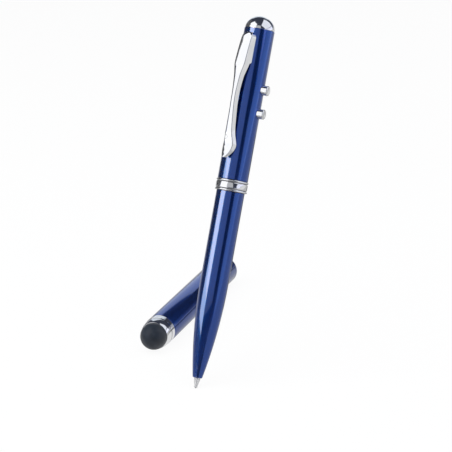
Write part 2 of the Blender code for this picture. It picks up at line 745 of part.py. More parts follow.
def build_spring(plate_look, spring_look, frame):
    """The plate on the refill holder and the coil that presses the cells upwards."""
    disc = COUPLER_BORE / 2 - FIT
    bottom = HOLDER_TOP + SEAT
    plate_top = bottom + CONTACT_THICKNESS
    nub = disc / 3
    outline = [
        (0.0, plate_top + CONTACT_NUB),
        (nub, plate_top + CONTACT_NUB),
        (nub, plate_top),
        (disc, plate_top),
        (disc, bottom),
        (0.0, bottom),
    ]
    turned("spring_plate", outline, plate_look, frame, INNER_STEPS)

    wire = SPRING_WIRE / 2
    radius = SPRING_DIAMETER / 2 - wire
    start = plate_top + SEAT + wire
    end = CELLS_BOTTOM - SEAT - wire
    count = SPRING_TURNS * 10
    curve = bpy.data.curves.new("battery_spring", "CURVE")
    curve.dimensions = "3D"
    curve.bevel_depth = wire
    curve.bevel_resolution = 1
    curve.use_fill_caps = True
    line = curve.splines.new("POLY")
    line.points.add(count)
    for step, point in enumerate(line.points):
        share = step / count
        angle = math.tau * SPRING_TURNS * share
        point.co = (radius * math.cos(angle), radius * math.sin(angle), start + (end - start) * share, 1.0)
    curve.materials.append(spring_look)
    spring = bpy.data.objects.new("battery_spring", curve)
    bpy.context.collection.objects.link(spring)
    spring.parent = frame
    spring.matrix_local = Matrix.Identity(4)
    gap = (end - start) / SPRING_TURNS - SPRING_WIRE
    print(f"battery_spring: least gap between turns {gap / MM:.2f} mm")


def build_cap(tube_look, chrome_look, rubber_look, plastic_look, frame):
    """The cap along its own axis, from its mouth at 0 to the stylus dome."""
    outline = [(CAP_BORE, 0.0), (CAP_RADIUS, 0.0), (CAP_RADIUS, CAP_TUBE_LENGTH), (CAP_BORE, CAP_TUBE_LENGTH)]
    turned("cap_tube", outline, tube_look, frame)

    skirt = CAP_BORE - FIT
    front = END_FRONT_DIAMETER / 2
    band_end = CAP_END + END_BAND
    collar = band_end + END_GROOVE
    groove = CAP_RADIUS - END_GROOVE_DEPTH
    shoulder = CAP_RADIUS - END_GROOVE_DEPTH / 3
    floor = CAP_FRONT - END_FLOOR
    hole = STEM_HOLE / 2
    taper = [
        (front + (shoulder - front) * math.cos(angle), collar + (CAP_FRONT - collar) * math.sin(angle))
        for angle in spread(0.0, math.pi / 2, ARC_POINTS)
    ]
    outline = [
        (END_BORE, CAP_END - END_SKIRT),
        (skirt, CAP_END - END_SKIRT),
        (skirt, CAP_END),
        (CAP_RADIUS, CAP_END),
        (CAP_RADIUS, band_end),
        (groove, band_end),
        (groove, collar),
    ]
    outline += taper + [(hole, CAP_FRONT), (hole, floor), (END_BORE, floor)]
    turned("cap_end_ring", outline, chrome_look, frame)

    point = CAP_END + TIP_IN_END - SEAT
    mouth = CAP_END - CUP_LENGTH
    nose = point - POINT_REACH
    cup = END_BORE - FIT
    bore_end = point + CUP_TIP_ROOM
    cup_end = floor - SEAT
    throat = NOSE_DIAMETER / 2 + NOSE_ROOM
    outline = [
        (0.0, bore_end),
        (throat, bore_end),
        (throat, nose),
        (barrel_radius(point - mouth) + NOSE_ROOM, mouth),
        (cup, mouth),
        (cup, cup_end),
        (0.0, cup_end),
    ]
    turned("cap_cup", outline, plastic_look, frame, INNER_STEPS)

    radius = STYLUS_DIAMETER / 2
    inner = radius - STYLUS_WALL
    rim = CAP_FRONT + SEAT
    spring_line = rim + STYLUS_SKIRT
    angles = spread(math.pi / 2, 0.0, ARC_POINTS + 2)
    outside = [(radius * math.sin(angle), spring_line + radius * math.cos(angle)) for angle in angles]
    inside = [(inner * math.sin(angle), spring_line + inner * math.cos(angle)) for angle in angles]
    outside[-1] = (0.0, spring_line + radius)
    inside[-1] = (0.0, spring_line + inner)
    outline = inside[::-1] + [(inner, rim), (radius, rim)] + outside
    turned("stylus_dome", outline, rubber_look, frame)

    head = inner - FIT
    stem = hole - FIT
    stem_end = cup_end + SEAT
    crown = [(head * math.sin(angle), spring_line + head * math.cos(angle)) for angle in angles]
    crown[-1] = (0.0, spring_line + head)
    outline = crown[::-1] + [(head, rim), (stem, rim), (stem, stem_end), (0.0, stem_end)]
    turned("stylus_core", outline, plastic_look, frame, INNER_STEPS)


def pen_matrix():
    """From the pen's own frame, point at the origin and axis along Z, to the place where it is held."""
    lean = Matrix.Rotation(-LEAN_TURN, 4, "Z") @ Matrix.Rotation(LEAN - math.pi / 2, 4, "X")
    point = lean @ Vector((0.0, 0.0, -GRIP_FROM_POINT))
    return Matrix.Translation(point) @ lean @ Matrix.Rotation(PEN_ROLL, 4, "Z")


def cap_matrix(point):
    """The cap on the table behind the pen's point, its mouth facing away along +Y."""
    mouth = point + Vector((-CAP_BESIDE, CAP_BEHIND + CAP_END, CAP_RADIUS))
    return Matrix.Translation(mouth) @ Matrix.Rotation(math.pi / 2, 4, "X")


def build():
    clear_scene()
    lacquer = make_look("blue_lacquer", (0.035, 0.075, 0.33), 0.22, 0.85)
    chrome = make_look("chrome", (0.86, 0.87, 0.90), 0.06, 1.0)
    brass = make_look("brass", (0.72, 0.53, 0.22), 0.28, 1.0)
    nickel = make_look("nickel_silver", (0.78, 0.76, 0.70), 0.20, 1.0)
    steel = make_look("spring_steel", (0.62, 0.63, 0.65), 0.25, 1.0)
    cell_steel = make_look("cell_steel", (0.80, 0.80, 0.80), 0.30, 1.0)
    rubber = make_look("stylus_rubber", (0.030, 0.034, 0.046), 0.65)
    dark_plastic = make_look("black_plastic", (0.020, 0.020, 0.022), 0.45)
    pale_plastic = make_look("white_plastic", (0.80, 0.80, 0.78), 0.45)
    board = make_look("circuit_board", (0.03, 0.22, 0.08), 0.45)
    glass = make_look("lens_glass", (0.75, 0.82, 0.85), 0.05)

    pen = add_frame("pen_frame", pen_matrix())
    build_lower_barrel(lacquer, pen)
    build_refill(nickel, steel, brass, pale_plastic, pen)
    build_joint(brass, chrome, pen)
    build_spring(brass, steel, pen)
    build_upper_barrel(lacquer, pen)
    build_dome(chrome, pen)
    build_clip(chrome, pen)
    for name, height in (("laser", UPPER_BUTTON), ("led", LOWER_BUTTON)):
        build_button(name, height, chrome, dark_plastic, dark_plastic, pen)
    build_board(board, pen)
    build_emitters(dark_plastic, brass, glass, glass, pen)
    build_cells(cell_steel, pale_plastic, brass, pen)

    cap = add_frame("cap_frame", cap_matrix(pen_matrix().translation))
    build_cap(lacquer, chrome, rubber, dark_plastic, cap)


build()
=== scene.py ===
"""Looks of the capped ballpoint pen: fine meshes, finishes, studio light and the photograph's camera."""

import json
import math

import bmesh
import bpy
from mathutils import Matrix, Vector


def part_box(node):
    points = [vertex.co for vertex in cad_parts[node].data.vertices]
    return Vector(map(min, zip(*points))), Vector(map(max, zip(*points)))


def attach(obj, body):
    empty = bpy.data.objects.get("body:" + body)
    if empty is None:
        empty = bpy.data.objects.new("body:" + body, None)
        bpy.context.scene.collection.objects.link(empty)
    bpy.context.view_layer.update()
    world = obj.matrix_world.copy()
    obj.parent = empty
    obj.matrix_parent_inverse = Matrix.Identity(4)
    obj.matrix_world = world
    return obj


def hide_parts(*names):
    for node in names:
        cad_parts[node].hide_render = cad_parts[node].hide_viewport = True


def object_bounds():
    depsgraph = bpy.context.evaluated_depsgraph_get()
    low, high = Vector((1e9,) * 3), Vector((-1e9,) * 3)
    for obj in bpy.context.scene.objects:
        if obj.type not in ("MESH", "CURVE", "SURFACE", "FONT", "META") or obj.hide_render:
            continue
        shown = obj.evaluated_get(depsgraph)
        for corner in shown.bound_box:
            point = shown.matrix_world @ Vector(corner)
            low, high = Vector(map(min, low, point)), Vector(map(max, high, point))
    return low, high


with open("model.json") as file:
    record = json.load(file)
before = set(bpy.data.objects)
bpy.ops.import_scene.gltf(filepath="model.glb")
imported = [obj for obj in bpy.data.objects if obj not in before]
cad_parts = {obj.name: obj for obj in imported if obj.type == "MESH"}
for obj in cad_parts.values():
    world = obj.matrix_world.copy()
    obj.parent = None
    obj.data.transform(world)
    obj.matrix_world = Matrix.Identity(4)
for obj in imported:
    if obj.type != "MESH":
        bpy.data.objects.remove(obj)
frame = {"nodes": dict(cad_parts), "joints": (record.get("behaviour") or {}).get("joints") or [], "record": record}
CAD_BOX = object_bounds()

MM = 0.001
JOINTS = {joint["name"]: joint for joint in frame["joints"]}

# Faces round a turned piece, and points along a rounded edge
FINE = 128
SMALL = 64
ARC = 10
SHORT_ARC = 5

# Corners this close are one, and faces that meet at more than this angle keep a sharp edge
MERGE = 1e-7
SHARP = math.radians(40)

# Usual rounding of an edge, room between two pieces that meet, and a corner too open to round
EDGE = 0.12 * MM
SEAM = 0.1 * MM
OPEN_CORNER = math.radians(160)

# Camera, measured from the pen's point
PHOTO_SIDE = 452
SENSOR = 36.0
FOCAL_PIXELS = 1784.7
CAMERA_AZIMUTH = math.radians(20.53)
CAMERA_ELEVATION = math.radians(19.71)
CAMERA_DISTANCE = 635.4 * MM
CAMERA_TARGET = Vector((12.10, 0.0, 65.38)) * MM


def node_points(node):
    return [vertex.co.copy() for vertex in frame["nodes"][node].data.vertices]


def middle_of(points):
    return sum(points, Vector()) / len(points)


def pen_frame():
    """The pen's own frame: point at the origin, Z up its axis, the clip on the -Y side."""
    axis = Vector(JOINTS["barrel_unscrew"]["axis"]).normalized()
    mounts = {mount["name"]: mount for mount in frame["record"]["mounts"]}
    grip = Vector(mounts["writing_grip"]["pos_m"])
    lowest = min((point - grip).dot(axis) for point in node_points("writing_ball"))
    towards_clip = middle_of(node_points("clip")) - grip
    towards_clip -= axis * towards_clip.dot(axis)
    back = -towards_clip.normalized()
    turn = Matrix((back.cross(axis), back, axis)).transposed()
    return Matrix.Translation(grip + axis * lowest) @ turn.to_4x4()


def cap_frame():
    """The cap's own frame: centre of its mouth at the origin, Z towards the stylus."""
    low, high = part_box("cap_tube")
    mouth = Vector(((low.x + high.x) / 2, high.y, (low.z + high.z) / 2))
    return Matrix.Translation(mouth) @ Matrix.Rotation(math.pi / 2, 4, "X")


PEN = pen_frame()
CAP = cap_frame()


class Reach:
    """How far a node reaches along and around the axis of its frame."""

    def __init__(self, node, matrix):
        inverse = matrix.inverted()
        self.points = [inverse @ point for point in node_points(node)]
        self.low = min(point.z for point in self.points)
        self.high = max(point.z for point in self.points)
        self.inner = min(math.hypot(point.x, point.y) for point in self.points)
        self.outer = max(math.hypot(point.x, point.y) for point in self.points)
        self.centre = middle_of(self.points)

    def outer_above(self, height):
        """Greatest radius above a height."""
        return max(math.hypot(point.x, point.y) for point in self.points if point.z > height)


def mix(low, high, share):
    return low + (high - low) * share


def spread(start, end, count):
    return [start + (end - start) * step / (count - 1) for step in range(count)]


def arc(centre, radius, start, end, count=ARC):
    """Corners on an arc in the (radius, height) plane, angles in degrees."""
    made = []
    for angle in spread(start, end, count):
        turn = math.radians(angle)
        made.append((centre[0] + radius * math.cos(turn), centre[1] + radius * math.sin(turn)))
    return made


def softened(outline, edge, closed=True):
    """Round every corner of a (radius, height) outline over this edge length, where its sides allow."""
    made = []
    last = len(outline) - 1
    for number, corner in enumerate(outline):
        here = Vector(corner)
        before = Vector(outline[number - 1]) - here
        after = Vector(outline[(number + 1) % len(outline)]) - here
        loose_end = not closed and number in (0, last)
        if loose_end or before.angle(after) > OPEN_CORNER:
            made.append(corner)
            continue
        trim = min(edge, before.length / 3, after.length / 3)
        start = here + before.normalized() * trim
        end = here + after.normalized() * trim
        for share in spread(0.0, 1.0, SHORT_ARC):
            point = start * (1 - share) ** 2 + here * 2 * share * (1 - share) + end * share**2
            made.append((point.x, point.y))
    return made


def smooth(mesh):
    mesh.shade_smooth()
    mesh.set_sharp_from_angle(angle=SHARP)


def add_piece(name, shape, matrix, look, body, replaced=()):
    """Turn a finished bmesh into a piece that rides on a body and stands for CAD nodes."""
    bmesh.ops.remove_doubles(shape, verts=shape.verts, dist=MERGE)
    bmesh.ops.recalc_face_normals(shape, faces=shape.faces)
    mesh = bpy.data.meshes.new(name)
    shape.to_mesh(mesh)
    shape.free()
    smooth(mesh)
    mesh.materials.append(look)
    piece = bpy.data.objects.new(name, mesh)
    bpy.context.scene.collection.objects.link(piece)
    piece.matrix_world = matrix
    if body:
        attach(piece, body)
        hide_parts(*replaced)
    return piece


def turned_shape(outline, steps=FINE):
    """Spin an outline of (radius, height) corners about Z; one that ends on the axis stays open."""
    shape = bmesh.new()
    corners = [shape.verts.new((radius, 0.0, height)) for radius, height in outline]
    lines = [shape.edges.new(pair) for pair in zip(corners, corners[1:])]
    if outline[0][0] > 0.0:
        lines.append(shape.edges.new((corners[-1], corners[0])))
    bmesh.ops.spin(
        shape,
        geom=corners + lines,
        cent=(0.0, 0.0, 0.0),
        axis=(0.0, 0.0, 1.0),
        angle=math.tau,
        steps=steps,
        use_merge=True,
    )
    return shape


def drum(radius, low, high):
    return turned_shape([(0.0, high), (radius, high), (radius, low), (0.0, low)], SMALL)


def tube_shape(reach):
    """A plain tube with rounded edges, as long and as thick as a node."""
    corners = [
        (reach.inner, reach.low),
        (reach.outer, reach.low),
        (reach.outer, reach.high),
        (reach.inner, reach.high),
    ]
    return turned_shape(softened(corners, EDGE))


def join_rings(shape, rings):
    """Faces between rings of corners that follow each other."""
    made = []
    for first, second in zip(rings, rings[1:]):
        for step in range(len(first)):
            after = (step + 1) % len(first)
            made.append(shape.faces.new((first[step], first[after], second[after], second[step])))
    return made


def cut(piece, cutter):
    """Cut a closed shape out of a piece for good, and throw the cutter away."""
    step = piece.modifiers.new("cut", "BOOLEAN")
    step.operation = "DIFFERENCE"
    step.solver = "EXACT"
    step.object = cutter
    graph = bpy.context.evaluated_depsgraph_get()
    mesh = bpy.data.meshes.new_from_object(piece.evaluated_get(graph))
    piece.modifiers.clear()
    piece.data = mesh
    smooth(mesh)
    bpy.data.objects.remove(cutter, do_unlink=True)


class Nodes:
    """Short ways to build one material's node tree."""

    def __init__(self, name):
        self.look = bpy.data.materials.new(name)
        self.look.use_nodes = True
        self.tree = self.look.node_tree
        self.shader = self.tree.nodes["Principled BSDF"]
        self.where = self.tree.nodes.new("ShaderNodeTexCoord").outputs["Object"]

    def put(self, **values):
        for name, value in values.items():
            self.shader.inputs[name.replace("_", " ").title().replace("Ior", "IOR")].default_value = value

    def link(self, start, end):
        self.tree.links.new(start, end)

    def colour(self, start):
        self.link(start, self.shader.inputs["Base Color"])

    def roughness(self, start):
        self.link(start, self.shader.inputs["Roughness"])

    def noise(self, scale, detail=2.0, roughness=0.5, stretch=None):
        """Noise in metres of the piece; stretch squeezes it along an axis."""
        node = self.tree.nodes.new("ShaderNodeTexNoise")
        node.inputs["Scale"].default_value = scale
        node.inputs["Detail"].default_value = detail
        node.inputs["Roughness"].default_value = roughness
        start = self.where
        if stretch:
            mapping = self.tree.nodes.new("ShaderNodeMapping")
            mapping.inputs["Scale"].default_value = stretch
            self.link(self.where, mapping.inputs["Vector"])
            start = mapping.outputs["Vector"]
        self.link(start, node.inputs["Vector"])
        return node.outputs["Fac"]

    def flakes(self, scale):
        node = self.tree.nodes.new("ShaderNodeTexVoronoi")
        node.inputs["Scale"].default_value = scale
        self.link(self.where, node.inputs["Vector"])
        return node.outputs["Color"]

    def ramp(self, fac, dark, light, places=(0.3, 0.7)):
        """From dark to light between two places of a 0..1 value."""
        node = self.tree.nodes.new("ShaderNodeValToRGB")
        for stop, place, colour in zip(node.color_ramp.elements, places, (dark, light)):
            stop.position = place
            stop.color = (*colour, 1.0)
        self.link(fac, node.inputs["Fac"])
        return node.outputs["Color"]

    def level(self, fac, low, high):
        """Map 0..1 to low..high."""
        node = self.tree.nodes.new("ShaderNodeMapRange")
        node.inputs["To Min"].default_value = low
        node.inputs["To Max"].default_value = high
        self.link(fac, node.inputs["Value"])
        return node.outputs["Result"]

    def bump(self, height, strength, distance):
        node = self.tree.nodes.new("ShaderNodeBump")
        node.inputs["Strength"].default_value = strength
        node.inputs["Distance"].default_value = distance
        self.link(height, node.inputs["Height"])
        self.link(node.outputs["Normal"], self.shader.inputs["Normal"])


def lacquer_look():
    """Metallic blue under a clear coat: fine flakes in the colour and a trace of orange peel."""
    made = Nodes("blue_lacquer")
    made.put(metallic=0.95, coat_weight=1.0, coat_roughness=0.02, coat_ior=1.65)
    flake = made.flakes(scale=7000.0)
    made.colour(made.ramp(flake, (0.004, 0.060, 0.36), (0.008, 0.082, 0.455), places=(0.0, 1.0)))
    made.roughness(made.level(made.noise(scale=900.0), low=0.15, high=0.21))
    made.bump(made.noise(scale=1400.0, detail=1.0), strength=0.004, distance=0.02 * MM)
    return made.look


def chrome_look():
    """Polished plate with a faint haze that varies, so that no reflection is perfectly even."""
    made = Nodes("chrome_plate")
    made.put(metallic=1.0)
    made.colour(made.ramp(made.noise(scale=260.0), (0.89, 0.90, 0.92), (0.94, 0.945, 0.96)))
    made.roughness(made.level(made.noise(scale=700.0, detail=4.0), low=0.06, high=0.11))
    return made.look


def turned_metal_look(name, dark, light, roughness, metallic=1.0):
    """Turned metal: fine rings round the axis in its colour and its gloss."""
    made = Nodes(name)
    made.put(metallic=metallic)
    rings = made.noise(scale=1.0, detail=3.0, roughness=0.6, stretch=(60.0, 60.0, 9000.0))
    made.colour(made.ramp(rings, dark, light))
    made.roughness(made.level(rings, low=roughness * 0.7, high=roughness * 1.3))
    made.bump(rings, strength=0.08, distance=0.02 * MM)
    return made.look


def rubber_look():
    """Soft dark rubber with a fine moulded tooth."""
    made = Nodes("stylus_rubber")
    made.put(sheen_weight=0.15, sheen_roughness=0.5)
    tone = made.noise(scale=500.0, detail=3.0)
    made.colour(made.ramp(tone, (0.006, 0.011, 0.020), (0.011, 0.018, 0.030)))
    made.roughness(made.level(tone, low=0.38, high=0.50))
    made.bump(made.noise(scale=5200.0), strength=0.12, distance=0.03 * MM)
    return made.look


def plastic_look(name, dark, light, roughness):
    """Moulded plastic, slightly uneven in tone and gloss."""
    made = Nodes(name)
    tone = made.noise(scale=600.0, detail=3.0)
    made.colour(made.ramp(tone, dark, light))
    made.roughness(made.level(tone, low=roughness - 0.05, high=roughness + 0.08))
    made.bump(made.noise(scale=4000.0), strength=0.06, distance=0.02 * MM)
    return made.look


def clear_look(name, tint, clearness):
    """Clear or milky resin."""
    made = Nodes(name)
    made.put(transmission_weight=clearness, ior=1.49)
    tone = made.noise(scale=300.0)
    pale = tuple(min(1.0, part * 1.04) for part in tint)
    made.colour(made.ramp(tone, tint, pale))
    made.roughness(made.level(tone, low=0.02, high=0.05))
    return made.look


LACQUER = lacquer_look()
CHROME = chrome_look()
# Painted shade: a dark grey plate for the centre ring's grooves and the clip's hollow back, where shade falls; on
# the clip it also stands for the duller inside of the pressed sheet
DULL_AND_SHADED_PLATE = turned_metal_look("dull_plate_and_painted_shade", (0.30, 0.30, 0.31), (0.38, 0.38, 0.39), roughness=0.55)
BRASS = turned_metal_look("turned_brass", (0.60, 0.42, 0.16), (0.78, 0.60, 0.28), roughness=0.28)
NICKEL = turned_metal_look(
    "nickel_silver", (0.76, 0.76, 0.76), (0.90, 0.90, 0.91), roughness=0.14, metallic=0.5
)
STEEL = turned_metal_look("bright_steel", (0.55, 0.56, 0.58), (0.72, 0.73, 0.75), roughness=0.22)
RUBBER = rubber_look()
# Black plastic of the switches, cup and cores; also painted into the cap end's groove as shade
BLACK = plastic_look("black_plastic", (0.016, 0.016, 0.018), (0.026, 0.026, 0.028), roughness=0.45)
WHITE = plastic_look("white_plastic", (0.74, 0.74, 0.72), (0.82, 0.82, 0.80), roughness=0.42)
BOARD = plastic_look("solder_mask", (0.02, 0.16, 0.06), (0.04, 0.25, 0.10), roughness=0.40)
CLEAR = clear_look("clear_lens", (0.90, 0.94, 0.96), clearness=1.0)
MILKY = clear_look("milky_epoxy", (0.88, 0.87, 0.80), clearness=0.35)


def dress_inner_nodes():
    """Finishes of the CAD nodes that stay as they are."""
    looks = {
        BRASS: ("thread_insert", "refill_tube", "spring_plate", "positive_contact", "laser_housing"),
        STEEL: ("battery_spring", "button_cell_1", "button_cell_2", "button_cell_3"),
        BLACK: ("laser_switch", "led_switch", "laser_switch_stem", "led_switch_stem",
                "emitter_carrier", "cap_cup", "stylus_core"),
        WHITE: ("refill_holder", "battery_sleeve"),
        BOARD: ("circuit_board",),
        CLEAR: ("laser_lens",),
        MILKY: ("led",),
    }
    for look, nodes in looks.items():
        for node in nodes:
            mesh = frame["nodes"][node].data
            mesh.materials.clear()
            mesh.materials.append(look)


# Lower barrel
NOSE_DIAMETER = 3.6 * MM
OGIVE_LENGTH = 36.0 * MM
OGIVE_ROWS = 48
TOP_BAND = 1.0 * MM


def build_lower_barrel():
    """A tube that runs into an ogive, open at the nose for the refill."""
    reach = Reach("lower_barrel", PEN)
    drop = reach.outer - NOSE_DIAMETER / 2
    wall = reach.outer - Reach("coupler_sleeve", PEN).outer
    outside = []
    inside = []
    for at in spread(reach.low, reach.low + OGIVE_LENGTH, OGIVE_ROWS):
        below = (reach.low + OGIVE_LENGTH - at) / OGIVE_LENGTH
        radius = reach.outer - drop * below**2
        outside.append((radius, at))
        if radius - wall > reach.inner:
            inside.append((radius - wall, at))
    rim = arc((outside[0][0] - EDGE, reach.low + EDGE), EDGE, -90, -30, SHORT_ARC)
    bore = reach.outer - wall
    band = reach.high - TOP_BAND
    corners = [(reach.outer, band), (reach.outer, reach.high), (bore, reach.high), (bore, band)]
    top = softened(corners, EDGE, closed=False)
    outline = [(reach.inner, reach.low)] + rim + outside[1:] + top + inside[::-1]
    outline.append((reach.inner, inside[0][1]))
    shape = turned_shape(outline)
    add_piece("barrel_lower", shape, PEN, LACQUER, "lower_barrel", ("lower_barrel",))


# Centre ring
RING_BEAD = 0.70 * MM
RING_GROOVE = 0.26 * MM
RING_DEPTH = 0.40 * MM
BEAD_ROUNDNESS = 0.45
BAND_ROUNDNESS = 0.3
BAND_SHARE = 0.8
# How far above the root of the grooves the painted shade reaches, as a share of their depth
GROOVE_SHADE_SHARE = 0.3


def build_centre_ring():
    """One turned ring: a bead at each end and a wide crowned band between two grooves, with painted shade in the
    grooves.
    """
    reach = Reach("centre_ring", PEN)
    root = reach.outer - RING_DEPTH
    outline = [(reach.inner, reach.high), (reach.inner, reach.low)]

    def bead(low, high, bulge, roundness):
        for angle in spread(0.0, math.pi, 2 * ARC):
            out = bulge * max(0.0, math.sin(angle)) ** roundness
            outline.append((root + out, low + (high - low) * (1 - math.cos(angle)) / 2))

    bead(reach.low, reach.low + RING_BEAD, RING_DEPTH, BEAD_ROUNDNESS)
    outline.append((root, reach.low + RING_BEAD + RING_GROOVE / 2))
    low = reach.low + RING_BEAD + RING_GROOVE
    high = reach.high - RING_BEAD - RING_GROOVE
    bead(low, high, RING_DEPTH * BAND_SHARE, BAND_ROUNDNESS)
    outline.append((root, high + RING_GROOVE / 2))
    bead(reach.high - RING_BEAD, reach.high, RING_DEPTH, BEAD_ROUNDNESS)
    shape = turned_shape(outline)
    ring = add_piece("ring_centre", shape, PEN, CHROME, "lower_barrel", ("centre_ring",))
    # Painted shade: faces near the root of the grooves take the dark plate
    ring.data.materials.append(DULL_AND_SHADED_PLATE)
    for face in ring.data.polygons:
        out = math.hypot(face.center.x, face.center.y)
        if reach.inner + EDGE < out < root + GROOVE_SHADE_SHARE * RING_DEPTH:
            face.material_index = 1


# Thread, whose groove runs in and out over part of a turn
THREAD_PITCH = 1.0 * MM
THREAD_DEPTH = 0.36 * MM
THREAD_ROWS = 12
THREAD_SLOPE = 2.6
THREAD_RUN_IN = 0.5


def build_coupler():
    """The brass sleeve between the halves, with a thread cut where the upper half screws on."""
    reach = Reach("coupler_sleeve", PEN)
    wide = [point for point in reach.points if math.hypot(point.x, point.y) > reach.outer - EDGE / 2]
    shoulder = max(point.z for point in wide)
    crest = reach.outer_above(reach.high - EDGE)
    start = Reach("centre_ring", PEN).high
    turns = (reach.high - EDGE - start) / THREAD_PITCH
    plain = [(reach.inner, reach.low), (reach.outer, reach.low), (reach.outer, shoulder), (crest, shoulder)]
    rings = [[corner] * SMALL for corner in plain]
    for turn in spread(0.0, turns, round(turns * THREAD_ROWS) + 1):
        fade = min(1.0, turn / THREAD_RUN_IN, (turns - turn) / THREAD_RUN_IN)
        row = []
        for step in range(SMALL):
            phase = (turn - step / SMALL) % 1.0
            valley = THREAD_SLOPE / 2 - THREAD_SLOPE * abs(2 * phase - 1)
            depth = THREAD_DEPTH * fade * min(1.0, max(0.0, valley))
            row.append((crest - depth, start + turn * THREAD_PITCH))
        rings.append(row)
    rings += [[(crest - EDGE, reach.high)] * SMALL, [(reach.inner, reach.high)] * SMALL]
    shape = bmesh.new()
    made = []
    for ring in rings:
        row = []
        for step, (radius, at) in enumerate(ring):
            angle = math.tau * step / SMALL
            row.append(shape.verts.new((radius * math.cos(angle), radius * math.sin(angle), at)))
        made.append(row)
    join_rings(shape, made + made[:1])
    add_piece("sleeve_coupler", shape, PEN, BRASS, "lower_barrel", ("coupler_sleeve",))


# Refill tip: its lip, the neck above it, the step, the cone, and the seat of the ball
TIP_LIP = 0.58 * MM
TIP_LIP_WALL = 0.05 * MM
TIP_NECK_GROWTH = 0.04 * MM
TIP_NECK_END = 0.70 * MM
TIP_STEP_GROWTH = 0.13 * MM
TIP_STEP_END = 0.80 * MM
TIP_CONE_END = 3.0 * MM
TIP_CONE_DROP = 0.06 * MM
TIP_STRAIGHT = 3.2 * MM
TIP_SEAT_WALL = 0.07 * MM
TIP_SEAT_DEPTH = 0.5 * MM
TIP_EDGE = 0.05 * MM
BALL_SEGMENTS = 32


def build_refill_tip():
    """The cone of the refill with its stepped end, and the ball in it."""
    reach = Reach("refill_tip", PEN)
    ball = Reach("writing_ball", PEN)
    outline = [
        (TIP_LIP - TIP_LIP_WALL, reach.low),
        (TIP_LIP, reach.low),
        (TIP_LIP + TIP_NECK_GROWTH, reach.low + TIP_NECK_END),
        (TIP_LIP + TIP_STEP_GROWTH, reach.low + TIP_STEP_END),
        (reach.outer - TIP_CONE_DROP, reach.low + TIP_CONE_END),
        (reach.outer, reach.low + TIP_STRAIGHT),
        (reach.outer, reach.high),
        (reach.inner, reach.high),
        (reach.inner, ball.high + TIP_SEAT_DEPTH),
        (TIP_LIP - TIP_SEAT_WALL, ball.high),
    ]
    shape = turned_shape(softened(outline, TIP_EDGE), SMALL)
    add_piece("tip_refill", shape, PEN, NICKEL, "lower_barrel", ("refill_tip",))
    radius = (ball.high - ball.low) / 2
    sphere = bmesh.new()
    bmesh.ops.create_uvsphere(sphere, u_segments=BALL_SEGMENTS, v_segments=BALL_SEGMENTS // 2, radius=radius)
    place = PEN @ Matrix.Translation((0.0, 0.0, ball.low + radius))
    add_piece("ball_writing", sphere, place, STEEL, "writing_ball", ("writing_ball",))


# Upper barrel and its push buttons
BUTTONS = {"laser_button": "laser_press", "led_button": "led_press"}
HOLE_GAP = 0.12 * MM
BUTTON_FLANGE = 0.6 * MM
BUTTON_SHOULDER = 0.36 * MM
DISH_DEPTH = 0.10 * MM
DISH_RISE = 0.04 * MM
DISH_SHARE = 0.45


def button_frame(node, joint):
    """Frame whose Z runs out of the barrel along a button's axis, from the pen's own axis."""
    outward = -Vector(JOINTS[joint]["axis"]).normalized()
    axis = PEN.col[2].to_3d()
    height = Reach(node, PEN).centre.z
    origin = PEN @ Vector((0.0, 0.0, height))
    turn = Matrix((axis, outward.cross(axis), outward)).transposed()
    return Matrix.Translation(origin) @ turn.to_4x4()


def build_upper_barrel():
    """A plain tube with a hole for each button."""
    node = "upper_barrel"
    reach = Reach(node, PEN)
    barrel = add_piece("barrel_upper", tube_shape(reach), PEN, LACQUER, node, (node,))
    for button, joint in BUTTONS.items():
        place = button_frame(button, joint)
        post = Reach(button, place).outer_above(reach.outer)
        drill = drum(post + HOLE_GAP, 0.0, 2 * reach.outer)
        cut(barrel, add_piece("drill", drill, place, LACQUER, None))


def build_buttons():
    """Turned posts with a rounded shoulder and a shallow dish in the end."""
    barrel = Reach("upper_barrel", PEN).outer
    for node, joint in BUTTONS.items():
        place = button_frame(node, joint)
        reach = Reach(node, place)
        post = reach.outer_above(barrel)
        flange = reach.low + BUTTON_FLANGE
        dish = reach.high - DISH_DEPTH
        outline = [(0.0, dish), (post * DISH_SHARE, dish + DISH_RISE)]
        outline += arc((post - BUTTON_SHOULDER, reach.high - BUTTON_SHOULDER), BUTTON_SHOULDER, 90, 0)
        outline += [(post, flange), (reach.outer, flange), (reach.outer, reach.low), (0.0, reach.low)]
        shape = turned_shape(outline, SMALL)
        add_piece("push_" + node, shape, place, CHROME, node, (node,))


# Dome
DOME_WALL = 0.7 * MM
DOME_ROWS = 48
APERTURES = {"laser_lens": 1.3 * MM, "led": 1.6 * MM}


def build_dome():
    """The chromed end: a full dome on a skirt, with two apertures."""
    reach = Reach("top_dome", PEN)
    base = Reach("upper_barrel", PEN).high + SEAM
    height = reach.high - base
    skirt = Reach("thread_insert", PEN).outer
    bore = skirt - DOME_WALL

    def shell(radius, rise, count):
        angles = spread(0.0, math.pi / 2, count)
        corners = [(radius * math.cos(angle), base + rise * math.sin(angle)) for angle in angles]
        corners[-1] = (0.0, base + rise)
        return corners

    inside = shell(bore, height - DOME_WALL, DOME_ROWS // 2)
    outside = shell(reach.outer, height, DOME_ROWS)
    outline = inside[::-1] + [(bore, reach.low), (skirt, reach.low), (skirt, base)] + outside
    dome = add_piece("dome_top", turned_shape(outline), PEN, CHROME, "upper_barrel", ("top_dome",))
    for node, radius in APERTURES.items():
        centre = Reach(node, PEN).centre
        place = PEN @ Matrix.Translation((centre.x, centre.y, 0.0))
        drill = drum(radius, base, reach.high + height)
        cut(dome, add_piece("drill", drill, place, CHROME, None))


